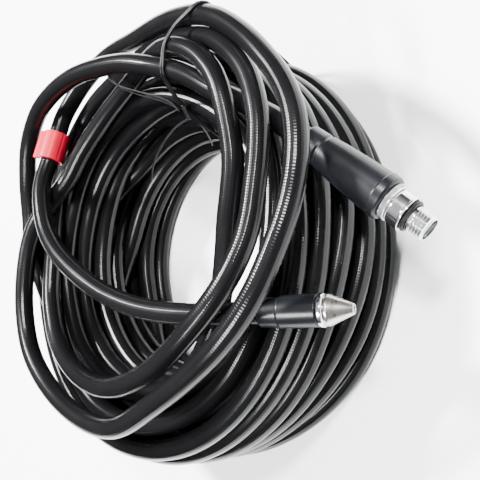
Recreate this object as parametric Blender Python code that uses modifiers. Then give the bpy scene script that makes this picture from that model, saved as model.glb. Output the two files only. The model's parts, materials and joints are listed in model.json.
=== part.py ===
"""Drain jetting hose: a coil of thin black hose, a swivel inlet coupling and a spinning jet nozzle."""
import math

import bmesh
import bpy
import numpy as np
from mathutils import Matrix, Vector

MM = 0.001

# ---------------------------------------------------------------- driving sizes, in millimetres
HOSE_OD = 10.5
HOSE_BORE = 6.0
GAP = 0.3
COIL_IN = 65.0
COIL_OUT = 110.0
COIL_HIGH = 70.0
COIL_ROUND_OUT = 20.0
COIL_ROUND_IN = 20.0
COIL_FOOT_ROUND = 6.0
WIRE_OD = 1.4
STEPS = 28

# the whole layout is drawn about the coil's own axis, then moved so the bounding box is centred
SHIFT = Vector((-20.9, -5.9, 0.0))

# ---------------------------------------------------------------- loose runs of hose, coil frame, mm
OUTER_LOOP = [
    (-33, 109.5, 73.5), (-19, 112.5, 75.5), (-5, 114.8, 77), (10, 115.6, 78.5), (27, 114.8, 80),
    (44, 110.5, 81), (60, 103.5, 82), (75, 94.5, 83), (95, 78, 84), (106, 63, 85.5), (111.5, 46, 87),
    (112, 29, 88), (111, 13, 91), (105, -12, 95), (90, -36, 97), (54, -68, 96), (20, -88, 93),
    (-28, -88, 90), (-68, -71, 88.5), (-84, -50, 88), (-91, -27, 86.5), (-93, -4, 82.5), (-86.5, 13, 78.5),
    (-76, 29.5, 75.8),
]
MIDDLE_LOOP = [
    (-24, 101, 72), (-6, 104.2, 72.8), (10, 104.8, 73.4), (26, 103.6, 74.4), (42, 99.5, 76.2),
    (56, 94, 78.5), (68.5, 84, 82), (79, 69, 83.2), (84, 53, 83.2), (87, 40, 84), (91, 16, 87.5), (88, -6, 93),
    (74, -30, 97), (51, -53, 97), (17, -69, 93), (-18, -71, 88), (-51, -61, 82), (-71, -39, 78.5),
    (-78, -17, 76.5),
]
INNER_LOOP = [
    (-74.6, 31.4, 75.8), (-66, 46, 75.8), (-53, 65, 75.6), (-37, 79, 76), (-20, 90.5, 78.5),
    (-5, 98, 82.5), (9, 100.6, 85), (22, 100, 86), (32, 97, 86), (41, 91, 85.2), (48, 85, 84.4),
    (54, 77, 83.6), (60, 64, 81.6), (65, 50, 79), (66.5, 37, 78.5), (67, 23, 77.5), (68, 4, 76),
]
UPPER_LOOP = [
    (-103, -14, 77), (-109, 5, 79), (-112, 25, 82), (-110, 48, 88), (-95, 70, 93), (-76, 80, 94),
    (-56, 87, 94), (-33, 90.5, 94.3), (-13, 90.6, 93.2), (0, 89.4, 91), (11, 87.8, 87), (21, 85.6, 82),
    (30, 83, 77.2), (38, 80.5, 74.2),
]

# straight stretch that carries the marker clip
CLIP_AT = Vector((-85.0, 49.0, 84.0))
CLIP_ALONG = Vector((0.12, -0.96, 0.24)).normalized()
CLIP_LONG = 17.0
CLIP_WALL = 2.5

# ---------------------------------------------------------------- inlet coupling, mm along its axis
INLET_AT = Vector((99.4, 57.1, 68.1))
INLET_ALONG = Vector((0.836, -0.488, -0.253)).normalized()
INLET_RUN = [(40.2, 79.8, 73.6), (52, 76.4, 72.8), (66, 72.6, 72.4), (80, 67.4, 72.2), (88, 63.4, 71.4)]

# ---------------------------------------------------------------- jet nozzle, mm along its axis
NOZZLE_AT = Vector((95.2, -18.6, 77.7))
NOZZLE_ALONG = Vector((0.911, 0.204, -0.358)).normalized()
NOZZLE_START = [
    (-34.2, 109.3, 73), (-47, 107.5, 71), (-61, 106, 69), (-74, 102.5, 69), (-83, 95.5, 71),
    (-87.8, 86, 74), (-88.6, 76, 76.8),
]
NOZZLE_END = [
    (-76, 17, 91), (-64, 2, 93), (-48, -9, 94), (-26, -18.5, 93.4), (0, -25.8, 91.4), (27, -28.4, 88.6),
    (56, -26.2, 85.6), (77, -22.6, 83.6),
]


# ---------------------------------------------------------------- helpers
def clear_scene():
    """Start from an empty scene."""
    for item in list(bpy.data.objects):
        bpy.data.objects.remove(item, do_unlink=True)


def collection(name, hidden=False):
    """Make a collection under the scene."""
    made = bpy.data.collections.new(name)
    bpy.context.scene.collection.children.link(made)
    made.hide_render = hidden
    return made


def material(name, colour, roughness, metallic=0.0):
    """One Principled material."""
    made = bpy.data.materials.new(name)
    made.use_nodes = True
    shader = made.node_tree.nodes["Principled BSDF"]
    shader.inputs["Base Color"].default_value = (*colour, 1.0)
    shader.inputs["Roughness"].default_value = roughness
    shader.inputs["Metallic"].default_value = metallic
    return made


def frame_along(at, along):
    """Local +Z runs along the given direction, starting at the given point."""
    turn = along.to_track_quat("Z", "Y").to_matrix().to_4x4()
    return Matrix.Translation(at * MM) @ turn


def place(name, data, home, paint=None, frame=None):
    """Link an object into its collection and set its frame."""
    made = bpy.data.objects.new(name, data)
    home.objects.link(made)
    if paint is not None:
        data.materials.append(paint)
    if frame is not None:
        made.matrix_world = frame
    return made


def turned(name, profile, home, paint, frame, steps=STEPS):
    """Turn a closed profile of (radius, height) points in millimetres about local Z."""
    mesh = bpy.data.meshes.new(name)
    verts = [(radius * MM, 0.0, height * MM) for radius, height in profile]
    count = len(verts)
    edges = [(i, (i + 1) % count) for i in range(count)]
    if profile[0][0] == 0.0 and profile[-1][0] == 0.0:
        edges = edges[:-1]
    mesh.from_pydata(verts, edges, [])
    made = place(name, mesh, home, paint, frame)
    screw = made.modifiers.new("Turned", "SCREW")
    screw.axis = "Z"
    screw.steps = steps
    screw.render_steps = steps
    screw.use_merge_vertices = True
    screw.merge_threshold = 0.00001
    screw.use_smooth_shade = False
    return made


def smooth_path(points, spacing):
    """Evenly spaced points along a smooth curve through hand-placed points, in millimetres."""
    known = np.array([tuple(p) for p in points], dtype=float)
    padded = np.vstack([2 * known[0] - known[1], known, 2 * known[-1] - known[-2]])
    fine = []
    for i in range(1, len(padded) - 2):
        a, b, c, d = padded[i - 1:i + 3]
        for t in np.linspace(0.0, 1.0, 16, endpoint=False):
            step = (2 * b) + (c - a) * t + (2 * a - 5 * b + 4 * c - d) * t ** 2
            step = step + (3 * b - a - 3 * c + d) * t ** 3
            fine.append(0.5 * step)
    fine.append(known[-1])
    fine = np.array(fine)
    walked = np.concatenate([[0.0], np.cumsum(np.linalg.norm(np.diff(fine, axis=0), axis=1))])
    count = max(3, int(round(walked[-1] / spacing)) + 1)
    wanted = np.linspace(0.0, walked[-1], count)
    return np.stack([np.interp(wanted, walked, fine[:, axis]) for axis in range(3)], axis=1)


def tube(name, points, diameter, home, paint, spacing=29.0, resolution=3, cyclic=False):
    """A solid round tube along a smooth curve, with filled caps."""
    curve = bpy.data.curves.new(name, "CURVE")
    curve.dimensions = "3D"
    curve.bevel_depth = diameter * MM / 2
    curve.bevel_resolution = resolution
    curve.use_fill_caps = not cyclic
    path = points if cyclic else smooth_path(points, spacing)
    spline = curve.splines.new("POLY")
    spline.points.add(len(path) - 1)
    for point, at in zip(spline.points, path):
        point.co = (at[0] * MM, at[1] * MM, at[2] * MM, 1.0)
    spline.use_cyclic_u = cyclic
    spline.use_smooth = True
    return place(name, curve, home, paint)


def box(name, size, home, frame):
    """A plain block, used as a cutter."""
    mesh = bpy.data.meshes.new(name)
    shape = bmesh.new()
    bmesh.ops.create_cube(shape, size=1.0)
    for vert in shape.verts:
        vert.co = Vector((vert.co.x * size[0], vert.co.y * size[1], vert.co.z * size[2])) * MM
    shape.to_mesh(mesh)
    shape.free()
    made = place(name, mesh, home, None, frame)
    made.display_type = "WIRE"
    made.hide_render = True
    return made


def rod(name, radius, length, home, frame):
    """A plain round pin centred on its frame, used as a cutter."""
    mesh = bpy.data.meshes.new(name)
    shape = bmesh.new()
    bmesh.ops.create_cone(
        shape, cap_ends=True, segments=10, radius1=radius * MM, radius2=radius * MM, depth=length * MM
    )
    shape.to_mesh(mesh)
    shape.free()
    made = place(name, mesh, home, None, frame)
    made.display_type = "WIRE"
    made.hide_render = True
    return made


def cut(target, tool):
    """Subtract one solid from another."""
    step = target.modifiers.new("Cut_" + tool.name, "BOOLEAN")
    step.operation = "DIFFERENCE"
    step.solver = "EXACT"
    step.object = tool


def round_corner(centre_r, centre_z, radius, start, end, count):
    """Points on a quarter round of a profile, angles in degrees from +R towards +Z."""
    out = []
    for i in range(count + 1):
        angle = math.radians(start + (end - start) * i / count)
        out.append((centre_r + radius * math.cos(angle), centre_z + radius * math.sin(angle)))
    return out


clear_scene()
parts = collection("drain_jetting_hose")
cutters = collection("cutters", hidden=True)

black_pvc = material("black_pvc", (0.018, 0.018, 0.019), 0.34)
black_sleeve = material("black_sleeve", (0.014, 0.014, 0.015), 0.42)
chrome_steel = material("chrome_steel", (0.78, 0.78, 0.79), 0.16, 1.0)
satin_steel = material("satin_steel", (0.62, 0.61, 0.59), 0.3, 1.0)
nitrile = material("nitrile_black", (0.012, 0.012, 0.012), 0.5)
red_plastic = material("red_plastic", (0.72, 0.045, 0.06), 0.35)
wire_coat = material("wire_coating", (0.012, 0.012, 0.013), 0.4)

UPRIGHT = Matrix.Identity(4)

# ---------------------------------------------------------------- the packed turns of the coil
low_in = round_corner(COIL_IN + COIL_FOOT_ROUND, COIL_FOOT_ROUND, COIL_FOOT_ROUND, 270, 180, 3)
high_in = round_corner(COIL_IN + COIL_ROUND_IN, COIL_HIGH - COIL_ROUND_IN, COIL_ROUND_IN, 180, 90, 4)
high_out = round_corner(COIL_OUT - COIL_ROUND_OUT, COIL_HIGH - COIL_ROUND_OUT, COIL_ROUND_OUT, 90, 0, 5)
low_out = round_corner(COIL_OUT - COIL_FOOT_ROUND, COIL_FOOT_ROUND, COIL_FOOT_ROUND, 0, -90, 3)
coil = turned("hose_coil", high_out + low_out + low_in + high_in, parts, black_pvc, UPRIGHT, 64)

# ---------------------------------------------------------------- loose runs of the same hose
tube("hose_outer_loop", OUTER_LOOP, HOSE_OD, parts, black_pvc)
tube("hose_middle_loop", MIDDLE_LOOP, HOSE_OD, parts, black_pvc)
tube("hose_inner_loop", INNER_LOOP, HOSE_OD, parts, black_pvc)
tube("hose_upper_loop", UPPER_LOOP, HOSE_OD, parts, black_pvc)
straight = [CLIP_AT + CLIP_ALONG * step for step in (-20.0, -10.0, 0.0, 10.0, 20.0)]
nozzle_stop = NOZZLE_AT - NOZZLE_ALONG * 2 * GAP
nozzle_lead = NOZZLE_AT - NOZZLE_ALONG * 8.0
nozzle_path = NOZZLE_START + straight + NOZZLE_END + [nozzle_lead, nozzle_stop]
tube("hose_nozzle_run", nozzle_path, HOSE_OD, parts, black_pvc, 15.5)
inlet_lead = INLET_AT - INLET_ALONG * 6.0
inlet_stop = INLET_AT - INLET_ALONG * 2 * GAP
tube("hose_inlet_run", INLET_RUN + [inlet_lead, inlet_stop], HOSE_OD, parts, black_pvc, 10.0)

# ---------------------------------------------------------------- inlet coupling
inlet = frame_along(INLET_AT, INLET_ALONG)
hose_r = HOSE_OD / 2
bore_r = HOSE_BORE / 2
turned("inlet_hose_end", [
    (hose_r, 28.0), (hose_r, 0.0), (bore_r, 0.0), (bore_r, 28.0),
], parts, black_pvc, inlet)
turned("inlet_tail", [
    (1.8, 54.0), (2.6, 54.0), (3.0, 53.6), (3.0, 50.4), (2.6, 50.4), (2.6, 49.4), (3.0, 49.4),
    (3.0, 31.0), (4.6, 31.0), (4.6, 28.3), (2.7, 28.3), (2.7, 24.5), (2.4, 24.5), (2.7, 18.5),
    (2.4, 18.5), (2.7, 12.5), (2.4, 12.5), (2.7, 6.5), (2.4, 6.5), (2.4, 2.0), (1.8, 2.0),
], parts, satin_steel, inlet)
turned("inlet_ferrule", [
    (4.9, 31.0), (5.9, 31.0), (6.25, 30.4), (6.25, 24.0), (6.0, 23.6), (6.0, 21.4), (6.25, 21.0),
    (6.25, 15.0), (6.0, 14.6), (6.0, 12.4), (6.25, 12.0), (6.25, 3.4), (5.9, 3.0), (5.55, 3.0),
    (5.55, 28.3), (4.9, 28.3),
], parts, satin_steel, inlet)
turned("inlet_sleeve", [
    (6.6, 45.2), (9.3, 45.2), (10.0, 44.2), (10.2, 41.0), (9.8, 40.6), (9.8, 40.0), (9.2, 27.0), (8.6, 18.0),
    (7.8, 10.2), (7.3, 9.4), (7.3, 8.6), (7.6, 8.0), (7.2, 0.6), (6.7, 0.0), (5.6, 0.0),
    (5.6, 2.6), (6.6, 2.6),
], parts, black_sleeve, inlet)
turned("inlet_collar", [
    (6.05, 48.4), (7.9, 48.4), (8.3, 48.0), (8.3, 46.0), (7.9, 45.5), (6.3, 45.5), (6.3, 38.0),
    (6.05, 38.0),
], parts, chrome_steel, inlet)
turned("inlet_retaining_clip", [
    (2.65, 50.2), (3.9, 50.2), (3.9, 49.6), (2.65, 49.6),
], parts, satin_steel, inlet, 24)
thread = []
for turn in range(5):
    thread.append((6.58, 65.2 - turn * 1.337))
    thread.append((5.75, 64.55 - turn * 1.337))
turned("inlet_nipple", [
    (2.6, 64.4), (3.6, 64.4), (3.6, 63.4), (4.7, 63.4), (4.7, 66.0), (6.0, 66.0),
] + thread + [
    (5.6, 58.6), (5.6, 57.6), (5.2, 57.6), (5.2, 55.6), (8.0, 55.6), (8.15, 55.4), (8.15, 54.7),
    (7.8, 54.4), (7.7, 49.4), (7.4, 48.8), (5.7, 48.8), (5.7, 34.3), (5.4, 34.0), (3.3, 34.0),
    (3.3, 49.3), (4.2, 49.3), (4.2, 50.5), (3.3, 50.5), (3.3, 56.4), (2.6, 57.0),
], parts, chrome_steel, inlet)
turned("inlet_o_ring", round_corner(6.2, 56.6, 0.92, 90, -240, 9), parts, nitrile, inlet)
turned("inlet_swivel_bush", [
    (5.3, 33.7), (5.6, 33.4), (5.6, 31.6), (5.3, 31.3), (3.3, 31.3), (3.3, 33.7),
], parts, satin_steel, inlet, 24)

# ---------------------------------------------------------------- jet nozzle
nozzle = frame_along(NOZZLE_AT, NOZZLE_ALONG)
turned("nozzle_hose_end", [
    (hose_r, 18.0), (hose_r, 0.0), (bore_r, 0.0), (bore_r, 18.0),
], parts, black_pvc, nozzle)
turned("nozzle_tail", [
    (1.5, 34.0), (2.1, 34.0), (2.4, 33.7), (2.4, 32.6), (2.0, 32.6), (2.0, 31.9), (2.4, 31.9),
    (2.4, 21.0), (4.6, 21.0), (4.6, 18.3), (2.7, 18.3), (2.7, 14.5), (2.4, 14.5), (2.7, 9.5),
    (2.4, 9.5), (2.7, 4.5), (2.4, 4.5), (2.4, 2.0), (1.5, 2.0),
], parts, satin_steel, nozzle)
turned("nozzle_ferrule", [
    (4.9, 21.0), (5.8, 21.0), (6.1, 20.5), (6.1, 16.0), (5.9, 15.6), (5.9, 13.4), (6.1, 13.0),
    (6.1, 4.0), (5.8, 3.5), (5.55, 3.5), (5.55, 18.3), (4.9, 18.3),
], parts, satin_steel, nozzle)
turned("nozzle_sleeve", [
    (6.4, 26.0), (6.8, 26.0), (7.0, 25.7), (7.0, 9.2), (6.7, 8.6), (6.35, 8.4), (6.35, 0.5),
    (5.9, 0.0), (5.6, 0.0), (5.6, 3.2), (6.4, 3.2),
], parts, black_sleeve, nozzle)
turned("nozzle_collar", [
    (2.7, 29.4), (6.1, 29.4), (6.1, 29.1), (6.7, 28.9), (7.2, 28.4), (7.2, 26.9), (6.7, 26.3),
    (6.1, 26.3), (6.1, 21.6), (5.8, 21.3), (2.7, 21.3),
], parts, chrome_steel, nozzle)
head = turned("nozzle_head", [
    (1.3, 41.0), (2.0, 41.0), (2.3, 40.7), (6.6, 31.0), (6.75, 30.6), (6.75, 29.9), (6.5, 29.7),
    (2.7, 29.7), (2.7, 31.6), (3.6, 31.6), (3.6, 35.4), (1.3, 37.4),
], parts, satin_steel, nozzle)
turned("nozzle_retaining_clip", [
    (2.05, 32.5), (3.2, 32.5), (3.2, 32.0), (2.05, 32.0),
], parts, satin_steel, nozzle, 24)
for index in range(3):
    around = Matrix.Rotation(math.radians(120.0 * index), 4, "Z")
    lean = Matrix.Translation(Vector((4.6, 0.0, 31.0)) * MM) @ Matrix.Rotation(math.radians(-35.0), 4, "Y")
    jet = rod("rear_jet_%d" % (index + 1), 0.6, 8.0, cutters, nozzle @ around @ lean)
    cut(head, jet)

# ---------------------------------------------------------------- red snap-on marker clip
clip_frame = frame_along(CLIP_AT - CLIP_ALONG * (CLIP_LONG / 2), CLIP_ALONG)
clip_mesh = bpy.data.meshes.new("marker_clip")
strip = bmesh.new()
inner = HOSE_OD / 2 + GAP
outline = [(inner + 3.4, -math.radians(137.0)), (inner + 1.6, -math.radians(133.0))]
outline = outline + [(inner, math.radians(angle)) for angle in range(-125, 126, 10)]
outline = outline + [(inner + 1.6, math.radians(133.0)), (inner + 3.4, math.radians(137.0))]
low = [strip.verts.new((r * math.cos(a) * MM, r * math.sin(a) * MM, 0.0)) for r, a in outline]
high = [strip.verts.new((v.co.x, v.co.y, CLIP_LONG * MM)) for v in low]
for i in range(len(low) - 1):
    strip.faces.new((low[i], low[i + 1], high[i + 1], high[i]))
strip.to_mesh(clip_mesh)
strip.free()
clip = place("marker_clip", clip_mesh, parts, red_plastic, clip_frame)
wall = clip.modifiers.new("Wall", "SOLIDIFY")
wall.thickness = CLIP_WALL * MM
wall.offset = 1.0
soft = clip.modifiers.new("Soft", "BEVEL")
soft.width = 0.35 * MM
soft.segments = 2
soft.limit_method = "ANGLE"

# ---------------------------------------------------------------- wire tie round the bundle
TIE_LOOP = [
    (31, 120.8, 76), (33.6, 121.2, 82), (33.5, 118, 86.8), (28, 114.5, 88.4), (22.5, 110.5, 90.2),
    (18.5, 105, 92.6), (16.8, 100, 94.2), (15.4, 95.5, 94.8), (15.3, 90.5, 94.6), (15.2, 84.5, 92.8),
    (14, 79.5, 87.5), (11, 77.5, 79), (10, 77.5, 72.5), (10.6, 73, 68.8), (11.3, 67, 62.6), (13, 63.1, 55),
    (15.5, 60.5, 46), (16.3, 60, 30), (16.3, 60, 5), (16.7, 61.5, 1.2), (18, 67, 1.1), (21, 80, 1.1),
    (24, 91.5, 1.1), (28, 106, 1.1), (29, 107.8, 4), (29.2, 108.1, 30), (29.4, 108.6, 55),
    (30, 113, 66),
]
TIE_TAIL = [
    (8, 74, 70.8), (0, 76, 73.4), (-8, 76.5, 77), (-15, 77, 80.4), (-21, 78, 83), (-26, 80, 85),
]
tube("tie_wire", TIE_LOOP, WIRE_OD, parts, wire_coat, 0.0, 2, True)
tube("tie_wire_tail", TIE_TAIL, WIRE_OD, parts, wire_coat, 7.0, 2)
groove_turn = Matrix.Rotation(math.atan2(25.0, 6.0), 4, "Z")
groove_at = Matrix.Translation(Vector((24.0, 90.0, 0.0)) * MM) @ groove_turn
cut(coil, box("tie_groove", (64.0, 3.4, 4.6), cutters, groove_at))

# the inlet end of the hose lies in a shallow channel across the top of the turns
CHANNEL = [(24, 85, 79), (38, 80.5, 74.3), (56, 75, 72.2), (80, 66.2, 71.2), (100, 56, 69)]
for number, (start, stop) in enumerate(zip(CHANNEL, CHANNEL[1:])):
    start, stop = Vector(start), Vector(stop)
    middle = frame_along((start + stop) / 2, (stop - start).normalized())
    cut(coil, rod("channel_%d" % number, HOSE_OD / 2 + 0.9, (stop - start).length + 5.0, cutters, middle))

# ---------------------------------------------------------------- centre the whole kit
for item in list(parts.objects) + list(cutters.objects):
    item.matrix_world = Matrix.Translation(SHIFT * MM) @ item.matrix_world
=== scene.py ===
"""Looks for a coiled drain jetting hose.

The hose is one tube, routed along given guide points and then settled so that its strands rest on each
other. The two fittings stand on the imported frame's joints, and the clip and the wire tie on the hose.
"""

import json
import math

import bpy
import numpy as np
from mathutils import Matrix, Vector


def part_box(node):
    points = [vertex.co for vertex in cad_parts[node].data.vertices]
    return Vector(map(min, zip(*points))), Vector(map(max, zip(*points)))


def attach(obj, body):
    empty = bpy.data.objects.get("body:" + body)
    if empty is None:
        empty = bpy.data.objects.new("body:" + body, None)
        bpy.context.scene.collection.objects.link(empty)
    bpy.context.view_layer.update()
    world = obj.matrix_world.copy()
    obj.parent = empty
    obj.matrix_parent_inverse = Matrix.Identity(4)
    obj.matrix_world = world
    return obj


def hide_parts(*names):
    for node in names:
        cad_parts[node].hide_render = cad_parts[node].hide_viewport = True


MM = 0.001
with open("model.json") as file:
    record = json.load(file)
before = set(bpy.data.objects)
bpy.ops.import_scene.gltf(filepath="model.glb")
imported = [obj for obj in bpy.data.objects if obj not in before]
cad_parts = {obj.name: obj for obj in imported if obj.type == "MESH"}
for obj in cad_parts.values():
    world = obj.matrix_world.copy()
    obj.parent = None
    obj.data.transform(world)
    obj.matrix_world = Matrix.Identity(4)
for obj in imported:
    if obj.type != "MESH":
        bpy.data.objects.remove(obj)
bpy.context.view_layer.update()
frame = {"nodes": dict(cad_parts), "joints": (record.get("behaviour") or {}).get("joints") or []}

# ---------------------------------------------------------------- driving values, in millimetres
HOSE_OD = 10.5
HOSE_STEP = 5.0  # spacing of the points while the hose settles
RING_STEP = 4.0  # spacing of the rings of the finished hose
HOSE_SIDES = 24
BEND = 48.0  # tightest bend the hose takes
PACKED = HOSE_OD + 0.12  # distance between two strands that touch
WIRE_OD = 1.35
TAIL_OD = 0.95  # the loose ends look thinner than the loop
WIRE_LIFT = 1.7  # the turns are raised this much where the wire passes under them
CLIP_LONG = 17.0
CLIP_WALL = 2.5
CLIP_TRAVEL = 6.0
CLIP_INNER = HOSE_OD / 2 + 0.3
CLIP_REACH = CLIP_LONG / 2 + CLIP_TRAVEL + HOSE_OD / 2  # how far along it keeps other strands away
CLIP_KEEP = HOSE_OD + 4.1  # distance from its axis to another strand's centre, clear of the lips
CLIP_STRAIGHT = 17.0  # the hose stays straight this far each way from the clip's middle
CLIP_STRAND = 32.0  # the clip's own strand, for keeping others away, reaches this far each way
INLET_BEHIND = 52.0  # from the swivel back to where the hose enters the fitting
NOZZLE_BEHIND = 31.0

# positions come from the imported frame: the coil's axis, and the two swivel joints
low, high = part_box("hose_coil")
CENTRE = Vector(((low.x + high.x) / 2, (low.y + high.y) / 2, 0.0))
joints = {joint["name"]: joint for joint in frame["joints"]}


def fitting_frame(joint, reach):
    """Frame with +Z along a fitting, starting where the hose enters it, reach mm behind the joint."""
    along = Vector(joint["axis"]).normalized()
    return Matrix.Translation(Vector(joint["pos_m"]) - along * reach * MM) @ turn_to(along)


def turn_to(along):
    """The rotation that takes +Z to a direction."""
    return along.to_track_quat("Z", "Y").to_matrix().to_4x4()


INLET = fitting_frame(joints["inlet_swivel"], INLET_BEHIND)
NOZZLE = fitting_frame(joints["nozzle_spin"], NOZZLE_BEHIND)
CLIP_ALONG = Vector(joints["marker_slide"]["axis"]).normalized()
CLIP_AT = Vector((-85.0, 49.0, 84.0))


def coil_mm(point):
    """A world point, in mm about the coil's axis."""
    return np.array((Vector(point) - CENTRE) / MM)


# ---------------------------------------------------------------- camera
CAMERA_FROM_COIL = Vector((0.3149, 0.0107, 0.3080))  # metres
CAMERA_AHEAD = (-0.7193, 0.0, -0.6947)
CAMERA_UP = (-0.0967, 0.9903, 0.1001)
forward = Vector(CAMERA_AHEAD).normalized()
upward = Vector(CAMERA_UP)
rightward = forward.cross(upward).normalized()
upward = rightward.cross(forward)
camera = bpy.data.objects.new("camera", bpy.data.cameras.new("camera"))
bpy.context.scene.collection.objects.link(camera)
camera.data.lens = 56.25
camera.data.sensor_width = 36.0
turn = Matrix((rightward, upward, -forward)).transposed().to_4x4()
camera.matrix_world = Matrix.Translation(CENTRE + CAMERA_FROM_COIL) @ turn
bpy.context.scene.camera = camera

# ---------------------------------------------------------------- the route of the hose
# Guide points from the nozzle to the inlet, listed in mm about the coil's axis. The number before
# each stretch says how firmly the settling hose is held to it: firm in view, loose where it is buried.
nozzle_at = coil_mm(NOZZLE.translation)
nozzle_along = np.array(NOZZLE.col[2][:3])
inlet_at = coil_mm(INLET.translation)
inlet_along = np.array(INLET.col[2][:3])
clip_run = [tuple(CLIP_AT + CLIP_ALONG * step) for step in (20, 15, 7.5, 0, -7.5, -15, -20)]
NOZZLE_RUN = [tuple(nozzle_at), tuple(nozzle_at - 8 * nozzle_along)] + [
    (77, -22.6, 83.6), (56, -26.2, 85.6), (27, -28.4, 88.6), (0, -25.8, 91.4), (-26, -18.5, 93.4),
    (-48, -9, 94), (-64, 2, 93), (-76, 17, 91),
] + clip_run + [
    (-87.2, 76, 76.6), (-85, 85, 74), (-79.5, 94, 71.8), (-71.5, 101, 70.5), (-60, 105.6, 70.2),
    (-47, 108.2, 71.3), (-33, 109.8, 73.2),
]
OUTER_LOOP = [
    (-19, 112, 75), (-5, 114, 76.5), (10, 115, 78), (27, 114.5, 79.5), (44, 110.5, 81),
    (60, 103.5, 82), (75, 94.5, 83), (95, 78, 84), (106, 63, 85.5), (111.5, 46, 87), (112, 29, 88),
    (111, 13, 91), (105, -12, 95), (90, -36, 97), (54, -68, 96), (20, -88, 93), (-28, -88, 90),
    (-68, -71, 88.5), (-84, -50, 88), (-91, -27, 87.5), (-93, -4, 85.5),
]
OUTER_TO_INNER = [(-88, 14, 82), (-79, 32, 78.5), (-68, 49, 77), (-53, 65, 75.5), (-37, 79, 75)]
INNER_LOOP = [
    (-20, 91, 77), (-6, 98, 80.5), (9, 102, 83), (22, 101.5, 83.5), (32, 98, 83), (41, 92, 82.5),
    (48, 86, 82), (53.5, 78, 81.5), (60, 64, 80), (65, 50, 79), (66.5, 37, 78.5), (67, 23, 78),
    (68, 9, 77),
]
INNER_TO_COIL = [
    (68, -8, 75.5), (64, -28, 73), (54, -48, 70.5), (36, -65, 68.5), (14, -74, 67),
    (-10, -77, 66.5), (-34, -73, 66), (-55, -61, 66),
]
COIL_TO_MIDDLE = [
    (-101, -27, 67), (-106, 1, 67.5), (-102, 32, 66.5), (-92, 56, 65), (-78, 75, 64.5),
    (-60, 87, 65.5), (-42, 95, 68.5),
]
MIDDLE_LOOP = [
    (-24, 102, 72.5), (-6, 107, 74.5), (10, 109, 76), (26, 108.5, 76.5), (42, 104.5, 78),
    (56, 97, 78.5), (68, 86.5, 78.5), (79, 69, 79), (84, 53, 80.5), (87, 40, 82.5), (91, 16, 87),
    (88, -6, 93), (74, -30, 97), (51, -53, 97), (17, -69, 93), (-18, -71, 88), (-51, -61, 82),
    (-71, -39, 78), (-78, -17, 76),
]
MIDDLE_TO_UPPER = [
    (-82.5, 4, 76), (-86, 22, 73), (-83, 42, 68), (-72, 62, 64), (-52, 78, 62), (-26, 88, 61),
    (5, 92, 61), (35, 85, 61), (62, 68, 62), (80, 42, 66), (88, 12, 70), (88, -20, 72),
    (76, -50, 72), (50, -75, 71), (15, -90, 70), (-25, -90, 69),
]
UPPER_LEAD = [(-60, -70, 69), (-82, -45, 71), (-94, -29, 74), (-103, -14, 77)]
UPPER_LOOP = [
    (-109, 5, 78), (-112, 25, 81), (-107, 48, 86), (-92, 67, 90), (-75, 79, 92), (-56, 87, 92.5),
    (-33, 92, 91), (-12, 94, 88.5), (2, 93, 86), (12, 91.5, 83), (21, 89.5, 80), (30, 86, 77),
    (39, 81.5, 74.5),
]
INLET_RUN = [(52, 77, 72.3), (66, 72, 71.5), (80, 66.7, 71), (90, 61.7, 70)] + [
    tuple(inlet_at - 5 * inlet_along), tuple(inlet_at),
]

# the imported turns: which column, how far out and how high each turn lies, from the first to the last
COLUMNS = {"inner": (-3.0, 1.0), "middle": (-1.5, 0.5), "outer": (0.0, 0.0)}
TURNS = [
    ("inner", 80.5, 66), ("inner", 77, 56), ("middle", 87.5, 50.5), ("inner", 73.5, 46),
    ("middle", 84, 40.5), ("inner", 70.5, 36), ("middle", 81.5, 30.5), ("inner", 69.5, 26),
    ("middle", 80.5, 20.5), ("inner", 69.5, 15.7), ("inner", 69.5, 5.3), ("middle", 81, 5.3),
    ("middle", 93, 5.3), ("outer", 105, 5.3), ("outer", 105.5, 15.8), ("outer", 106, 26.1),
    ("outer", 106, 36.4), ("outer", 105.5, 46.7), ("outer", 104.5, 57), ("outer", 102.5, 67),
]
COIL_START = 203.0  # degrees about the coil's axis
COIL_STOP = -150.0


def ease(t):
    """Smooth step from 0 to 1."""
    t = min(max(t, 0.0), 1.0)
    return t * t * (3 - 2 * t)


def packed_turns(step=12.0, width=50.0):
    """Guide points round every turn; each step to the next turn comes a little later round the coil."""
    per_turn = 360.0 - 360.0 / len(TURNS)
    steps = [per_turn * (0.35 + k) for k in range(len(TURNS) - 1)]
    travel = COIL_START - COIL_STOP
    while travel < steps[-1] + 60.0:
        travel += 360.0
    points = []
    for i in range(int(travel / step) + 1):
        gone = step * i
        slot = sum(ease((gone - at) / width + 0.5) for at in steps)
        first = int(min(math.floor(slot), len(TURNS) - 2))
        share = slot - first
        (col_a, r_a, z_a), (col_b, r_b, z_b) = TURNS[first], TURNS[first + 1]
        x, y = np.array(COLUMNS[col_a]) * (1 - share) + np.array(COLUMNS[col_b]) * share
        angle = math.radians(COIL_START - gone)
        radius = r_a * (1 - share) + r_b * share
        radius += 0.9 * math.sin(2 * angle + 0.9 * slot) + 0.6 * math.sin(3 * angle + 2.1 * slot)
        height = max(z_a * (1 - share) + z_b * share, HOSE_OD / 2)
        points.append((x + radius * math.cos(angle), y + radius * math.sin(angle), height))
    return points


ROUTE = [
    (0.6, NOZZLE_RUN), (0.35, OUTER_LOOP), (0.08, OUTER_TO_INNER), (0.35, INNER_LOOP),
    (0.06, INNER_TO_COIL), (0.03, packed_turns()), (0.08, COIL_TO_MIDDLE), (0.35, MIDDLE_LOOP),
    (0.05, MIDDLE_TO_UPPER), (0.1, UPPER_LEAD), (0.35, UPPER_LOOP), (0.4, INLET_RUN),
]


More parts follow.
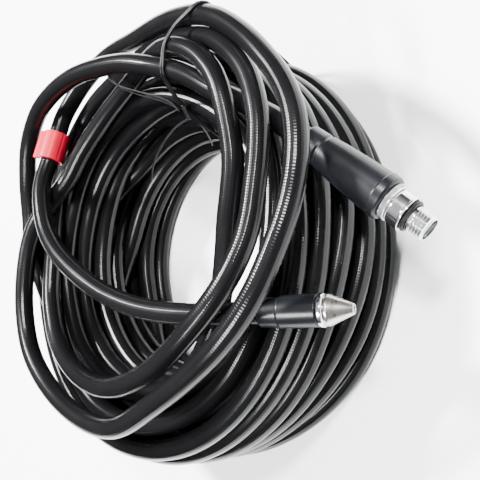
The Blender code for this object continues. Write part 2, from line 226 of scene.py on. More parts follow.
# ---------------------------------------------------------------- settling the hose
def curve_through(points, count=8):
    """Centripetal Catmull-Rom curve, count points for each gap."""
    known = np.array(points, float)
    known = np.vstack([2 * known[0] - known[1], known, 2 * known[-1] - known[-2]])
    out = []
    for i in range(1, len(known) - 2):
        a, b, c, d = known[i - 1:i + 3]
        ta = 0.0
        tb = ta + np.linalg.norm(b - a) ** 0.5
        tc = tb + np.linalg.norm(c - b) ** 0.5
        td = tc + np.linalg.norm(d - c) ** 0.5
        t = np.linspace(tb, tc, count, endpoint=False)[:, None]
        ab = (tb - t) / (tb - ta) * a + (t - ta) / (tb - ta) * b
        bc = (tc - t) / (tc - tb) * b + (t - tb) / (tc - tb) * c
        cd = (td - t) / (td - tc) * c + (t - tc) / (td - tc) * d
        abc = (tc - t) / (tc - ta) * ab + (t - ta) / (tc - ta) * bc
        bcd = (td - t) / (td - tb) * bc + (t - tb) / (td - tb) * cd
        out.append((tc - t) / (tc - tb) * abc + (t - tb) / (tc - tb) * bcd)
    out.append(known[-2:-1])
    return np.vstack(out)


def walked(line):
    """Distance along a line to each of its points."""
    return np.concatenate([[0.0], np.cumsum(np.linalg.norm(np.diff(line, axis=0), axis=1))])


def spaced(line, step):
    """The same line with evenly spaced points."""
    along = walked(line)
    wanted = np.linspace(0.0, along[-1], int(round(along[-1] / step)) + 1)
    return np.stack([np.interp(wanted, along, line[:, k]) for k in range(3)], axis=1)


WIRE_UNDER = (24.0, 90.0)  # where the wire passes under the turns
WIRE_NORMAL = (0.972, -0.233)
WIRE_SPREAD = 22.0


def floor_height(line, radius):
    """How low a strand's centre may lie: on the floor, or on the wire where that passes under it."""
    from_wire = line[:, :2] - WIRE_UNDER
    across = from_wire[:, 0] * WIRE_NORMAL[0] + from_wire[:, 1] * WIRE_NORMAL[1]
    near = (line[:, 1] > 0.0) * np.exp(-((across / WIRE_SPREAD) ** 2))
    return radius + WIRE_LIFT * near


def close_pairs(line, reach, skip):
    """Pairs of points closer than reach that are more than skip points apart along the hose."""
    first, second = [], []
    for start in range(0, len(line), 400):
        gap = ((line[start:start + 400, None] - line[None]) ** 2).sum(axis=2)
        i, j = np.nonzero(gap < reach * reach)
        keep = j > i + start + skip
        first.append(i[keep] + start)
        second.append(j[keep])
    return np.concatenate(first), np.concatenate(second)


def clear_of_clip(line, own):
    """Moves the other strands off the clip, wherever it slides."""
    gap = line - np.array(CLIP_AT)
    along = gap @ np.array(CLIP_ALONG)
    out = gap - along[:, None] * np.array(CLIP_ALONG)
    size = np.linalg.norm(out, axis=1)
    beside = (np.abs(along) < CLIP_REACH) & (size < CLIP_KEEP) & ~own
    line[beside] += out[beside] / size[beside, None] * (CLIP_KEEP - size[beside])[:, None]
    return line


SETTLE_ROUNDS = 240
SAME_STRAND = 3.2 * HOSE_OD  # points nearer than this along the hose never push each other apart
GUIDE_PULL = 0.05  # share of the way back to the guide line, each round
BEND_STRIDES = (1, 2, 4, 6)  # how many points apart the bend is measured


def settle(guide, hold, fixed, own, rounds):
    """Lets the hose find room: strands push apart, bends stay open, nothing goes through the floor."""
    line = guide.copy()
    count = len(line)
    skip = int(SAME_STRAND / HOSE_STEP)
    free = np.where(fixed, 0.0, 1.0)
    radius = HOSE_OD / 2
    for turn_no in range(rounds):
        if turn_no % 10 == 0:
            first, second = close_pairs(line, HOSE_OD + 6.0, skip)
        for _ in range(2):
            apart = line[second] - line[first]
            size = np.linalg.norm(apart, axis=1) + 1e-9
            touch = size < PACKED
            i, j = first[touch], second[touch]
            share = np.maximum(free[i] + free[j], 1e-9)
            push = apart[touch] / size[touch, None] * ((PACKED - size[touch]) / share)[:, None]
            total = np.zeros_like(line)
            hits = np.zeros(count)
            np.add.at(total, i, -push * free[i][:, None])
            np.add.at(total, j, push * free[j][:, None])
            np.add.at(hits, i, 1)
            np.add.at(hits, j, 1)
            line = line + total / np.maximum(hits * 0.7, 1)[:, None]
            line = clear_of_clip(line, own)
            line[:, 2] = np.maximum(line[:, 2], floor_height(line, radius))
        fade = 1.0 if turn_no < rounds * 0.5 else 0.25
        line = line + (guide - line) * (GUIDE_PULL * hold * fade * free)[:, None]
        moved = line - guide
        for _ in range(3):
            middle = 0.5 * (moved[:-2] + moved[2:]) - moved[1:-1]
            moved[1:-1] += 0.5 * middle * free[1:-1, None]
        line = guide + moved
        for stride in BEND_STRIDES:
            sag = 0.5 * (line[:-2 * stride] + line[2 * stride:]) - line[stride:-stride]
            size = np.linalg.norm(sag, axis=1) + 1e-9
            most = (stride * HOSE_STEP) ** 2 / (2 * BEND)
            extra = np.maximum(1 - most / size, 0)[:, None] * sag
            total = np.zeros_like(line)
            total[stride:-stride] += 0.5 * extra
            total[:-2 * stride] -= 0.25 * extra
            total[2 * stride:] -= 0.25 * extra
            line = line + 0.6 * total * free[:, None]
        line[:, 2] = np.maximum(line[:, 2], floor_height(line, radius))
        if turn_no % 5 == 4:
            along = walked(line)
            wanted = np.linspace(0.0, along[-1], count)
            even = np.stack([np.interp(wanted, along, line[:, k]) for k in range(3)], axis=1)
            line = line + (even - line) * free[:, None] * 0.5
    return line


guide_points = [point for _, stretch in ROUTE for point in stretch]
guide_hold = [hold for hold, stretch in ROUTE for _ in stretch]
fine_guide = curve_through(guide_points)
fine_hold = np.interp(np.arange(len(fine_guide)) / 8.0, np.arange(len(guide_points)), guide_hold)
fine_along = walked(fine_guide)
guide_line = spaced(fine_guide, HOSE_STEP)
line_hold = np.interp(np.linspace(0.0, fine_along[-1], len(guide_line)), fine_along, fine_hold)
held = np.zeros(len(guide_line), bool)
held[:4] = True
held[-3:] = True
from_clip = np.linalg.norm(guide_line - np.array(CLIP_AT), axis=1)
from_middle = np.abs(np.arange(len(guide_line)) - int(from_clip.argmin()))
clip_strand = from_middle < int(CLIP_STRAND / HOSE_STEP)
held |= clip_strand & (from_clip < CLIP_STRAIGHT)
settled = settle(guide_line, line_hold, held, clip_strand, SETTLE_ROUNDS)
hose_line = spaced(curve_through(settled, 4), RING_STEP)[::-1]


# ---------------------------------------------------------------- materials
BRAID_AROUND = 11
BRAID_PERIOD = 0.0026  # metres along the hose


def new_material(name, colour, roughness, metallic=0.0, coat=0.0):
    """A Principled material; plastics are given little specular, to keep their blacks deep."""
    made = bpy.data.materials.new(name)
    made.use_nodes = True
    shader = made.node_tree.nodes["Principled BSDF"]
    shader.inputs["Base Color"].default_value = (*colour, 1.0)
    shader.inputs["Roughness"].default_value = roughness
    shader.inputs["Metallic"].default_value = metallic
    shader.inputs["Coat Weight"].default_value = coat
    shader.inputs["Coat Roughness"].default_value = 0.15
    shader.inputs["Specular IOR Level"].default_value = 0.5 if metallic else 0.15
    return made, made.node_tree, shader


def node(tree, kind, inputs=(), **settings):
    """Add a node, set its settings, and set or link its inputs."""
    made = tree.nodes.new(kind)
    for key, value in settings.items():
        setattr(made, key, value)
    for key, value in dict(inputs).items():
        if isinstance(value, bpy.types.NodeSocket):
            tree.links.new(value, made.inputs[key])
        else:
            made.inputs[key].default_value = value
    return made


def maths(tree, operation, a, b=0.0):
    """The result of a Math node on two numbers or sockets."""
    return node(tree, "ShaderNodeMath", {0: a, 1: b}, operation=operation).outputs[0]


def ramp(tree, value, low_out, high_out, low_in=0.0, high_in=1.0):
    """A value mapped from one range to another, held at the ends."""
    return node(tree, "ShaderNodeMapRange", {
        "Value": value, "From Min": low_in, "From Max": high_in, "To Min": low_out, "To Max": high_out,
    }).outputs[0]


def noise(tree, where, scale, detail=4.0, rough=0.55):
    """Fractal noise from 0 to 1, scale features to the metre."""
    settings = {"Vector": where, "Scale": scale, "Detail": detail, "Roughness": rough}
    return node(tree, "ShaderNodeTexNoise", settings).outputs["Fac"]


def mixed(tree, share, a, b):
    """Colour a to colour b as share goes from 0 to 1."""
    made = node(tree, "ShaderNodeMix", data_type="RGBA")
    tree.links.new(share, made.inputs[0])
    made.inputs[6].default_value = (*a, 1.0)
    made.inputs[7].default_value = (*b, 1.0)
    return made.outputs[2]


def bumped(tree, shader, height, distance, strength, under=None):
    """Relief of the given depth in metres, over any relief there is already."""
    inputs = {"Height": height, "Distance": distance, "Strength": strength}
    if under is not None:
        inputs["Normal"] = under
    normal = node(tree, "ShaderNodeBump", inputs).outputs[0]
    tree.links.new(normal, shader.inputs["Normal"])
    return normal


def local(tree):
    """Coordinates that stay with the object."""
    return node(tree, "ShaderNodeTexCoord").outputs["Object"]


def make_pvc():
    """Satin black PVC over a woven braid, which shows through as a fine diamond relief."""
    made, tree, shader = new_material("hose_pvc", (0.003, 0.003, 0.0032), 0.2)
    where = node(tree, "ShaderNodeUVMap", uv_map="UVMap").outputs[0]
    split = node(tree, "ShaderNodeSeparateXYZ", {0: where})
    around = maths(tree, "MULTIPLY", split.outputs[0], 2 * math.pi * BRAID_AROUND)
    along = maths(tree, "MULTIPLY", split.outputs[1], 2 * math.pi / BRAID_PERIOD)
    left = maths(tree, "COSINE", maths(tree, "ADD", around, along))
    right = maths(tree, "COSINE", maths(tree, "SUBTRACT", around, along))
    braid = maths(tree, "MULTIPLY", left, right)
    place = local(tree)
    grain = noise(tree, place, 2600.0, 3.0)
    wear = noise(tree, place, 38.0, 5.0)
    tree.links.new(ramp(tree, wear, 0.16, 0.25, 0.3, 0.7), shader.inputs["Roughness"])
    tone = mixed(tree, wear, (0.0022, 0.0022, 0.0024), (0.004, 0.004, 0.0044))
    tree.links.new(tone, shader.inputs["Base Color"])
    fine = bumped(tree, shader, grain, 0.00002, 0.35)
    bumped(tree, shader, braid, 0.00004, 0.75, fine)
    return made


def make_sleeve():
    """Smooth moulded black plastic with a soft blue-grey sheen."""
    made, tree, shader = new_material("moulded_black", (0.0036, 0.004, 0.0052), 0.32, 0.0, 0.12)
    shader.inputs["Coat Roughness"].default_value = 0.25
    place = local(tree)
    grain = noise(tree, place, 1800.0, 3.0)
    smear = noise(tree, place, 90.0, 4.0)
    tree.links.new(ramp(tree, smear, 0.30, 0.40, 0.3, 0.7), shader.inputs["Roughness"])
    bumped(tree, shader, grain, 0.00002, 0.4)
    return made


def make_metal(name, colour, dull, rough_low, rough_high, lines, depth):
    """Turned metal: fine lathe lines round the axis, and a little smudging."""
    made, tree, shader = new_material(name, colour, rough_low, 1.0)
    place = local(tree)
    split = node(tree, "ShaderNodeSeparateXYZ", {0: place})
    run = node(tree, "ShaderNodeCombineXYZ", {2: split.outputs[2]}).outputs[0]
    cuts = noise(tree, run, lines, 6.0, 0.7)
    smudge = noise(tree, place, 160.0, 4.0)
    tree.links.new(ramp(tree, smudge, rough_low, rough_high, 0.3, 0.7), shader.inputs["Roughness"])
    tree.links.new(mixed(tree, smudge, colour, dull), shader.inputs["Base Color"])
    bumped(tree, shader, cuts, depth, 0.6)
    return made


def make_red():
    """Soft red plastic with a fine moulded grain."""
    made, tree, shader = new_material("clip_red", (0.36, 0.004, 0.02), 0.38)
    shader.inputs["Subsurface Weight"].default_value = 0.15
    shader.inputs["Subsurface Radius"].default_value = (0.004, 0.001, 0.001)
    place = local(tree)
    grain = noise(tree, place, 1500.0, 4.0)
    tone = noise(tree, place, 150.0, 3.0)
    colour = mixed(tree, tone, (0.30, 0.0025, 0.015), (0.42, 0.006, 0.026))
    tree.links.new(colour, shader.inputs["Base Color"])
    tree.links.new(ramp(tree, tone, 0.3, 0.44), shader.inputs["Roughness"])
    bumped(tree, shader, grain, 0.00003, 0.4)
    return made


def make_rubber(name, colour, roughness, scale):
    """Dull black rubber or coating with an even grain."""
    made, tree, shader = new_material(name, colour, roughness)
    grain = noise(tree, local(tree), scale, 4.0)
    tree.links.new(ramp(tree, grain, roughness - 0.06, roughness + 0.1), shader.inputs["Roughness"])
    bumped(tree, shader, grain, 0.00003, 0.4)
    return made


pvc = make_pvc()
moulded = make_sleeve()
chrome = make_metal(
    "bright_chrome", (0.76, 0.76, 0.77), (0.60, 0.60, 0.62), 0.10, 0.20, 5200.0, 0.00001,
)
satin = make_metal(
    "satin_stainless", (0.52, 0.49, 0.455), (0.40, 0.375, 0.345), 0.22, 0.34, 6500.0, 0.00004,
)
red = make_red()
seal = make_rubber("seal_rubber", (0.004, 0.004, 0.004), 0.42, 1400.0)
wire_black = make_rubber("wire_coat", (0.004, 0.004, 0.0045), 0.34, 1800.0)


# ---------------------------------------------------------------- mesh helpers
def piece(name, verts, faces, paint, body, at=None, uvs=None, stands_for=()):
    mesh = bpy.data.meshes.new(name)
    mesh.from_pydata([tuple(v) for v in verts], [], [tuple(int(i) for i in f) for f in faces])
    mesh.validate()
    mesh.polygons.foreach_set("use_smooth", [True] * len(mesh.polygons))
    if uvs is not None:
        layer = mesh.uv_layers.new(name="UVMap")
        layer.data.foreach_set("uv", np.asarray(uvs, np.float32).ravel())
    mesh.materials.append(paint)
    made = bpy.data.objects.new(name, mesh)
    bpy.context.scene.collection.objects.link(made)
    if at is not None:
        made.matrix_world = at
    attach(made, body)
    if stands_for:
        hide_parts(*stands_for)
    return made


def skin(rows, columns, wrap_rows=False):
    """Quads over a grid whose columns go round."""
    rings = rows if wrap_rows else rows - 1
    i, j = np.meshgrid(np.arange(rings), np.arange(columns), indexing="ij")
    i, j = i.ravel(), j.ravel()
    up, over = (i + 1) % rows, (j + 1) % columns
    return np.stack([i * columns + j, i * columns + over, up * columns + over, up * columns + j], axis=1)


def tube_rings(line, radius, sides):
    """Rings round a line, turned as little as possible from one to the next; in the line's own units."""
    ahead = np.gradient(line, axis=0)
    ahead /= np.linalg.norm(ahead, axis=1)[:, None]
    side = np.cross(ahead[0], (0.0, 0.0, 1.0))
    side /= np.linalg.norm(side)
    angles = np.linspace(0.0, 2 * math.pi, sides, endpoint=False)
    rings = np.empty((len(line), sides, 3))
    for i, forth in enumerate(ahead):
        side = side - forth * side.dot(forth)
        side /= np.linalg.norm(side)
        other = np.cross(forth, side)
        rings[i] = line[i] + radius * (np.cos(angles)[:, None] * side + np.sin(angles)[:, None] * other)
    return rings


def tube_piece(name, line, diameter, sides, paint, body, stands_for=(), closed=False):
    """A tube along a line in mm about the coil's axis, with flat ends; a closed one's ends meet."""
    if closed:
        line = np.vstack([line[-2:-1], line, line[1:2]])
        rings = tube_rings(line, diameter / 2, sides)[1:-1]
    else:
        rings = tube_rings(line, diameter / 2, sides)
    rows = len(rings)
    verts = rings.reshape(-1, 3) * MM + np.array(CENTRE)
    quads = skin(rows, sides)
    along = walked(rings.mean(axis=1)) * MM
    i, j = quads[:, 0] // sides, quads[:, 0] % sides
    u0, u1 = j / sides, (j + 1) / sides
    v0, v1 = along[i], along[i + 1]
    uvs = np.stack([
        np.stack([u0, v0], 1), np.stack([u1, v0], 1), np.stack([u1, v1], 1), np.stack([u0, v1], 1),
    ], axis=1).reshape(-1, 2)
    caps = [list(range(sides))[::-1], [(rows - 1) * sides + k for k in range(sides)]]
    cap_uvs = np.zeros((2 * sides, 2))
    faces = [tuple(q) for q in quads] + caps
    return piece(name, verts, faces, paint, body, None, np.vstack([uvs, cap_uvs]), stands_for)


def eased(profile, size=0.16, count=4):
    """Round the corners of a closed profile of (radius, height) points."""
    known = np.array(profile, float)
    out = []
    for k, corner in enumerate(known):
        back, on = known[k - 1] - corner, known[(k + 1) % len(known)] - corner
        back_size, on_size = np.linalg.norm(back), np.linalg.norm(on)
        cut = min(size, 0.42 * back_size, 0.42 * on_size)
        a, b = corner + back / back_size * cut, corner + on / on_size * cut
        for t in np.linspace(0.0, 1.0, count):
            out.append((1 - t) ** 2 * a + 2 * t * (1 - t) * corner + t ** 2 * b)
    return np.array(out)


def turned(name, profile, at, paint, body, stands_for=(), shape=None, sides=128, size=0.16):
    """A turned piece on a fitting's axis; shape(radius, height, angle) adds such things as threads."""
    soft = eased(profile, size) if size else np.array(profile, float)
    angles = np.linspace(0.0, 2 * math.pi, sides, endpoint=False)
    radius = np.repeat(soft[:, :1], sides, axis=1)
    height = np.repeat(soft[:, 1:], sides, axis=1)
    if shape is not None:
        radius = shape(radius, height, angles[None, :])
    grid = np.stack([radius * np.cos(angles), radius * np.sin(angles), height], axis=2)
    faces = skin(len(soft), sides, wrap_rows=True)
    made = piece(name, grid.reshape(-1, 3) * MM, faces, paint, body, at, None, stands_for)
    normals = made.modifiers.new("Normals", "WEIGHTED_NORMAL")
    normals.keep_sharp = True
    return made


def drilled(target, radius, deep, at, sides=20):
    """Cut a round hole, deep mm long and centred at a matrix, into a piece."""
    verts = []
    for height in (-deep / 2, deep / 2):
        for k in range(sides):
            angle = 2 * math.pi * k / sides
            verts.append((radius * math.cos(angle) * MM, radius * math.sin(angle) * MM, height * MM))
    faces = [(k, (k + 1) % sides, sides + (k + 1) % sides, sides + k) for k in range(sides)]
    faces += [tuple(range(sides))[::-1], tuple(range(sides, 2 * sides))]
    mesh = bpy.data.meshes.new("drill")
    mesh.from_pydata(verts, [], faces)
    drill = bpy.data.objects.new("drill", mesh)
    bpy.context.scene.collection.objects.link(drill)
    drill.matrix_world = at
    bpy.context.view_layer.update()
    hole = target.modifiers.new("Hole", "BOOLEAN")
    hole.object = drill
    hole.solver = "EXACT"
    done = target.evaluated_get(bpy.context.evaluated_depsgraph_get())
    fresh = bpy.data.meshes.new_from_object(done)
    target.modifiers.remove(hole)
    target.data = fresh
    bpy.data.objects.remove(drill)


# ---------------------------------------------------------------- the hose
hose = tube_piece(
    "hose", hose_line, HOSE_OD, HOSE_SIDES, pvc, "hose",
    ("hose_coil", "hose_outer_loop", "hose_middle_loop", "hose_inner_loop", "hose_upper_loop",
     "hose_nozzle_run", "hose_inlet_run"),
)

# ---------------------------------------------------------------- inlet coupling
RIBS = 72
RIB_DEPTH = 0.3
RIB_FADE = 0.12  # the ribs run out over this height at each end
RIB_INSIDE = 6.7  # nothing nearer the axis than this is ribbed


def ribbed(low_at, high_at):
    """Fine straight ribs on the outside between two heights."""
    def shape(radius, height, angle):
        band = np.clip((height - low_at) / RIB_FADE, 0, 1) * np.clip((high_at - height) / RIB_FADE, 0, 1)
        return radius - RIB_DEPTH * (0.5 + 0.5 * np.cos(RIBS * angle)) * band * (radius > RIB_INSIDE)
    return shape


turned("inlet_sleeve_visual", [
    (6.6, 45.2), (9.3, 45.2), (10.0, 44.2), (10.2, 41.0), (9.8, 40.6), (9.8, 40.0), (9.55, 34.0),
    (9.2, 27.0), (8.6, 18.0), (7.8, 10.2), (7.3, 9.4), (7.3, 8.6), (7.6, 8.0), (7.4, 4.0), (7.2, 0.6),
    (6.7, 0.0), (5.6, 0.0), (5.6, 2.6), (6.6, 2.6),
], INLET, moulded, "hose", ("inlet_sleeve",), size=0.3)
turned("inlet_collar_visual", [
    (6.05, 48.4), (7.9, 48.4), (8.3, 48.0), (8.3, 47.3), (8.3, 46.7), (8.3, 46.0), (7.9, 45.5),
    (6.3, 45.5), (6.3, 38.0), (6.05, 38.0),
], INLET, chrome, "hose", ("inlet_collar",), ribbed(45.9, 48.1), 6 * RIBS, 0.1)

# a quarter inch pipe thread
PITCH = 1.337
CREST = 6.58
ROOT = 5.72
THREAD_LOW, THREAD_HIGH = 58.8, 65.9
CHAMFER_FROM = 65.1


def threaded(radius, height, angle):
    """A helical thread with a chamfered start and a short run-out."""
    outside = (radius > 5.5) & (height > THREAD_LOW - 0.05) & (height < THREAD_HIGH + 0.05)
    phase = (height / PITCH - angle / (2 * math.pi)) % 1.0
    valley = np.clip((np.abs(2 * phase - 1) - 0.1) / 0.8, 0, 1)
    wall = CREST - (CREST - ROOT) * valley
    wall = np.minimum(wall, CREST - 1.1 * np.clip(height - CHAMFER_FROM, 0, 1))
    wall = np.minimum(wall, ROOT + 1.6 * np.clip(height - THREAD_LOW, 0, 1))
    return np.where(outside, wall, radius)


front = [tuple(p) for p in eased([
    (5.6, 58.6), (5.6, 57.6), (5.2, 57.6), (5.2, 55.6), (8.0, 55.6), (8.15, 55.4), (8.15, 54.7),
    (7.8, 54.4), (7.7, 49.4), (7.4, 48.8), (5.7, 48.8), (5.7, 34.3), (5.4, 34.0), (3.3, 34.0),
    (3.3, 49.3), (4.2, 49.3), (4.2, 50.5), (3.3, 50.5), (3.3, 56.4), (2.6, 57.0),
    (2.6, 64.4), (3.6, 64.4), (3.6, 63.4), (4.7, 63.4), (4.7, 66.0), (5.7, 66.0),
], 0.1)]
thread_rings = [(CREST, float(z)) for z in np.linspace(THREAD_HIGH, THREAD_LOW, 72)]
turned("inlet_nipple_visual", front + thread_rings, INLET, chrome, "inlet_nipple",
       ("inlet_nipple",), threaded, 144, 0.0)
SEAL_MIDDLE, SEAL_AT, SEAL_SECTION = 6.2, 56.6, 0.92
seal_round = [
    (SEAL_MIDDLE + SEAL_SECTION * math.cos(a), SEAL_AT + SEAL_SECTION * math.sin(a))
    for a in np.linspace(0.0, 2 * math.pi, 20, endpoint=False)
]
turned("inlet_o_ring_visual", seal_round, INLET, seal, "inlet_nipple",
       ("inlet_o_ring",), size=0.0)

# ---------------------------------------------------------------- jet nozzle
turned("nozzle_sleeve_visual", [
    (6.4, 26.0), (6.8, 26.0), (7.0, 25.6), (7.0, 18.0), (7.0, 9.4), (6.7, 8.8), (6.35, 8.4),
    (6.35, 0.5), (5.9, 0.0), (5.6, 0.0), (5.6, 3.2), (6.4, 3.2),
], NOZZLE, moulded, "hose", ("nozzle_sleeve",), size=0.25)
turned("nozzle_collar_visual", [
    (2.7, 29.4), (6.1, 29.4), (6.1, 29.1), (6.7, 28.9), (7.2, 28.4), (7.2, 26.9), (6.7, 26.3),
    (6.1, 26.3), (6.1, 21.6), (5.8, 21.3), (2.7, 21.3),
], NOZZLE, chrome, "hose", ("nozzle_collar",), size=0.25)
head = turned("nozzle_head_visual", [
    (1.3, 41.0), (2.0, 41.0), (2.3, 40.7), (4.45, 35.85), (6.6, 31.0), (6.75, 30.6), (6.75, 29.9),
    (6.5, 29.7), (2.7, 29.7), (2.7, 31.6), (3.6, 31.6), (3.6, 35.4), (1.3, 37.4),
], NOZZLE, satin, "nozzle_head", ("nozzle_head",), size=0.12)
head.modifiers.clear()

# rear jets, drilled through the back edge of the cone
JETS = 3
JET_RADIUS = 0.6
JET_DEEP = 8.0
JET_AT = (4.6, 0.0, 31.0)
JET_LEAN = math.radians(-35.0)
for jet in range(JETS):
    around = Matrix.Rotation(math.radians(360.0 / JETS * jet), 4, "Z")
    lean = Matrix.Translation(Vector(JET_AT) * MM) @ Matrix.Rotation(JET_LEAN, 4, "Y")
    drilled(head, JET_RADIUS, JET_DEEP, NOZZLE @ around @ lean)

# ---------------------------------------------------------------- red marker clip
GROOVE_DEPTH = 0.22
GROOVES_TO = 118  # degrees each way
EDGE = 0.42  # how far the ends are rounded
inner_line = [(CLIP_INNER + 3.4, -137.0), (CLIP_INNER + 1.6, -133.0)]
inner_line += [(CLIP_INNER, float(a)) for a in np.arange(-125.0, 125.1, 2.5)]
inner_line += [(CLIP_INNER + 1.6, 133.0), (CLIP_INNER + 3.4, 137.0)]
inner_line = np.array([
    (r * math.cos(math.radians(a)), r * math.sin(math.radians(a))) for r, a in inner_line
])
inner_line = np.vstack([
    inner_line[:1], (inner_line[0] + inner_line[1]) / 2, inner_line[1:-1],
    (inner_line[-2] + inner_line[-1]) / 2, inner_line[-1:],
])
slope = np.gradient(inner_line, axis=0)
slope /= np.linalg.norm(slope, axis=1)[:, None]
outward = np.stack([slope[:, 1], -slope[:, 0]], axis=1)
bearing = np.degrees(np.arctan2(inner_line[:, 1], inner_line[:, 0]))
grooves = GROOVE_DEPTH * np.clip(np.cos(np.radians(bearing * 8)) * 3.0 - 2.1, 0, 1)
grooves = np.where(np.abs(bearing) < GROOVES_TO, grooves, 0)
wall_line = inner_line + outward * (CLIP_WALL - grooves)[:, None]
clip_rings = []
for height, inset in ((0.0, EDGE), (0.12, 0.18), (EDGE, 0.0), (4.0, 0.0), (8.5, 0.0), (13.0, 0.0),
                      (CLIP_LONG - EDGE, 0.0), (CLIP_LONG - 0.12, 0.18), (CLIP_LONG, EDGE)):
    near, far = inner_line + outward * inset * 0.6, wall_line - outward * inset
    loop = np.vstack([near, far[::-1]])
    clip_rings.append(np.column_stack([loop, np.full(len(loop), height)]))
clip_rings = np.array(clip_rings)
sides = clip_rings.shape[1]
half = sides // 2
clip_faces = [tuple(f) for f in skin(len(clip_rings), sides)]
top = (len(clip_rings) - 1) * sides
for k in range(half - 1):
    quad = (k, k + 1, sides - 2 - k, sides - 1 - k)
    clip_faces.append(quad)
    clip_faces.append(tuple(top + q for q in quad[::-1]))
clip_base = CENTRE + (CLIP_AT - CLIP_ALONG * (CLIP_LONG / 2)) * MM
clip = piece(
    "marker_clip_visual", clip_rings.reshape(-1, 3) * MM, clip_faces, red, "marker_clip",
    Matrix.Translation(clip_base) @ turn_to(CLIP_ALONG), None, ("marker_clip",),
)
clip.modifiers.new("Normals", "WEIGHTED_NORMAL")

# ---------------------------------------------------------------- wire tie
strands = spaced(hose_line, 2.0)
WIRE_SIDES = 12
WIRE_STEP = 0.9  # spacing of the rings along a wire
TIE_ACROSS = np.array((-0.966, 0.259, 0.0))  # along the strands, where the wire crosses them
BUNDLE_GUIDE = [
    (31, 121, 76), (34, 121, 84), (30, 117, 89), (22, 111, 91), (18.5, 104, 93), (16.5, 97, 94),
    (16.5, 90, 93), (16, 83, 90), (12, 77, 84), (10, 73, 74), (10, 69, 64), (12, 63, 50), (15, 58, 34),
    (16, 57, 16), (17, 60, 1.2), (21, 80, 0.8), (26, 98, 0.8), (29, 112, 1.2), (31, 116, 16),
    (31, 116, 36), (30, 117, 58),
]


def tighten(guide, radius, rounds=900, pull=0.5, closed=True, hold=0.0):
    """Draws a wire in until it rests on the strands, pushing it out of any that it enters."""
    line = guide.copy()
    lowest, highest = line.min(axis=0) - 12.0, line.max(axis=0) + 12.0
    near = strands[((strands > lowest) & (strands < highest)).all(axis=1)]
    clear = HOSE_OD / 2 + radius
    for _ in range(rounds):
        if closed:
            middle = 0.5 * (np.roll(line, 1, axis=0) + np.roll(line, -1, axis=0))
        else:
            middle = line.copy()
            middle[1:-1] = 0.5 * (line[:-2] + line[2:])
        line = line + pull * (middle - line)
        if closed:
            line = line + 0.2 * ((guide - line) @ TIE_ACROSS)[:, None] * TIE_ACROSS
        else:
            line = line + hold * (guide - line)
        for _ in range(2):
            gap = line[:, None] - near[None]
            size = np.linalg.norm(gap, axis=2)
            closest = size.argmin(axis=1)
            rows = np.arange(len(line))
            short = np.maximum(clear - size[rows, closest], 0.0)
            reach = np.maximum(size[rows, closest], 1e-6)
            line = line + gap[rows, closest] / reach[:, None] * short[:, None]
        line[:, 2] = np.maximum(line[:, 2], radius)
    return line


def wire_piece(name, line, diameter, stands_for=(), closed=False):
    """A length of the tie's wire."""
    tube_piece(name, line, diameter, WIRE_SIDES, wire_black, "hose", stands_for, closed)


wires = []
closed_guide = curve_through(BUNDLE_GUIDE + BUNDLE_GUIDE[:1])
for side, wander in ((-1.0, 0.5), (1.0, 1.9)):
    base = spaced(closed_guide, 1.5)[:-1]
    swing = np.sin(np.linspace(0.0, 2 * math.pi, len(base), endpoint=False) * 3 + wander)
    base = base + TIE_ACROSS * (side * (WIRE_OD / 2 + 0.12) + 0.5 * swing * (side > 0))[:, None]
    wires.append(tighten(base, WIRE_OD / 2))
for number, wire in enumerate(wires):
    loop = np.vstack([wire, wire[:1]])
    stands = ("tie_wire",) if number == 0 else ()
    line = spaced(curve_through(loop, 3), WIRE_STEP)
    wire_piece("tie_wire_%d" % (number + 1), line, WIRE_OD, stands, True)

# the two ends are twisted together on the inside of the bundle, then stick out
KNOT_HEIGHT = 64.0
TWIST_POINTS = 60
TWIST_TURNS = 2.6
TWIST_RADIUS = 0.72
off_height = np.abs(wires[0][:, 2] - KNOT_HEIGHT)
knot_index = int(np.argmin(off_height + 10.0 * (wires[0][:, 1] > 90)))  # on the inside, not the outside
KNOT = (wires[0][knot_index] + wires[1][knot_index]) / 2 + np.array((-0.3, -1.4, 0.0))
twist_line = np.linspace(
    KNOT + np.array((3.0, 2.2, 5.0)), KNOT + np.array((-3.5, -1.6, -5.0)), TWIST_POINTS,
)
twist_dir = (twist_line[-1] - twist_line[0]) / np.linalg.norm(twist_line[-1] - twist_line[0])
twist_side = np.cross(twist_dir, (0.0, 1.0, 0.0))
twist_side /= np.linalg.norm(twist_side)
twist_up = np.cross(twist_dir, twist_side)
for number in range(2):
    phase = np.linspace(0.0, 2 * math.pi * TWIST_TURNS, TWIST_POINTS) + math.pi * number
    round_it = np.cos(phase)[:, None] * twist_side + np.sin(phase)[:, None] * twist_up
    wire_piece("tie_twist_%d" % (number + 1), twist_line + TWIST_RADIUS * round_it, WIRE_OD)

TAILS = [
    [(0, 0, 5), (-5, 4, 7.5), (-12, 6.5, 12), (-20, 8, 18), (-27, 9.5, 24), (-31.5, 12, 28),
     (-33, 14.5, 29.5), (-33, 13.5, 27), (-29, 9.5, 23), (-22, 7, 16), (-14, 5.5, 9.5), (-5, 2.5, 4)],
    [(-3.5, -1.6, -5), (-10, -4, -5), (-17, -8.5, -5), (-24, -14.5, -6), (-31, -21, -8),
     (-37, -28, -11), (-42, -34, -15)],
    [(-1, -1, -4), (0, -3.5, -10), (-3, -6, -17), (-7, -8.5, -24), (-11, -11, -30)],
]
for number, tail in enumerate(TAILS):
    guide = spaced(curve_through([KNOT + np.array(p) for p in tail]), 1.2)
    shape_line = tighten(guide, WIRE_OD / 2, 40, 0.3, False, 0.3)
    stands = ("tie_wire_tail",) if number == 0 else ()
    line = spaced(curve_through(shape_line, 3), WIRE_STEP)
    wire_piece("tie_tail_%d" % (number + 1), line, TAIL_OD, stands)

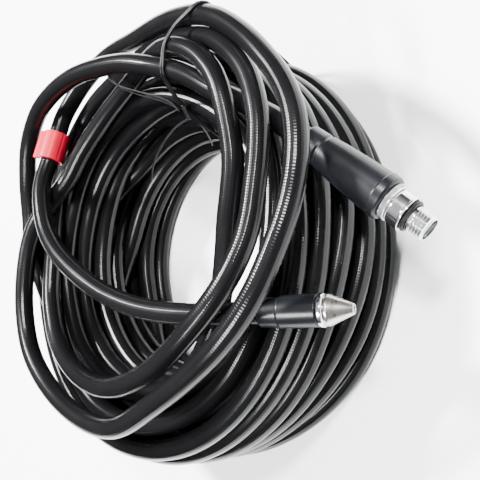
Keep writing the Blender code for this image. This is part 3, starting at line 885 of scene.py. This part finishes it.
# kept CAD pieces inside the fittings get the same metals
for name, paint in (("inlet_tail", satin), ("inlet_ferrule", satin), ("inlet_retaining_clip", satin),
                    ("inlet_swivel_bush", satin), ("nozzle_tail", satin), ("nozzle_ferrule", satin),
                    ("nozzle_retaining_clip", satin), ("inlet_hose_end", pvc), ("nozzle_hose_end", pvc)):
    for slot in frame["nodes"][name].material_slots:
        slot.material = paint

# ---------------------------------------------------------------- floor, light
floor_mesh = bpy.data.meshes.new("floor")
FLOOR_HALF = 6
floor_corners = [(x * FLOOR_HALF, y * FLOOR_HALF, 0) for x, y in ((-1, -1), (1, -1), (1, 1), (-1, 1))]
floor_mesh.from_pydata(floor_corners, [], [(0, 1, 2, 3)])
floor_paint, _, floor_shader = new_material("floor_white", (0.93, 0.935, 0.94), 0.8)
floor_mesh.materials.append(floor_paint)
floor = bpy.data.objects.new("floor", floor_mesh)
bpy.context.scene.collection.objects.link(floor)
floor.location.z = -0.0002

world = bpy.data.worlds.new("studio")
bpy.context.scene.world = world
world.use_nodes = True
sky = world.node_tree
towards = node(sky, "ShaderNodeTexCoord").outputs["Generated"]
above = node(sky, "ShaderNodeSeparateXYZ", {0: towards}).outputs[2]
glow = ramp(sky, above, 0.03, 0.75, 0.15, 0.95)
sky.nodes["Background"].inputs["Color"].default_value = (0.95, 0.97, 1.0, 1.0)
sky.links.new(glow, sky.nodes["Background"].inputs["Strength"])


LIGHTS_AIM = Vector((0, 0, 0.03))


def soft_light(name, at, size, power):
    """A rectangular light aimed at the coil; metres and watts."""
    data = bpy.data.lights.new(name, "AREA")
    data.shape = "RECTANGLE"
    data.size, data.size_y = size
    data.energy = power
    made = bpy.data.objects.new(name, data)
    bpy.context.scene.collection.objects.link(made)
    made.location = at
    made.rotation_mode = "QUATERNION"
    made.rotation_quaternion = (LIGHTS_AIM - Vector(at)).to_track_quat("-Z", "Y")


soft_light("window", (-0.7, 0.4, 1.3), (0.18, 0.18), 150.0)
soft_light("strip", (0.2, -0.7, 1.3), (0.12, 0.4), 60.0)
soft_light("fill", (0.7, 0.7, 1.4), (0.2, 0.2), 70.0)
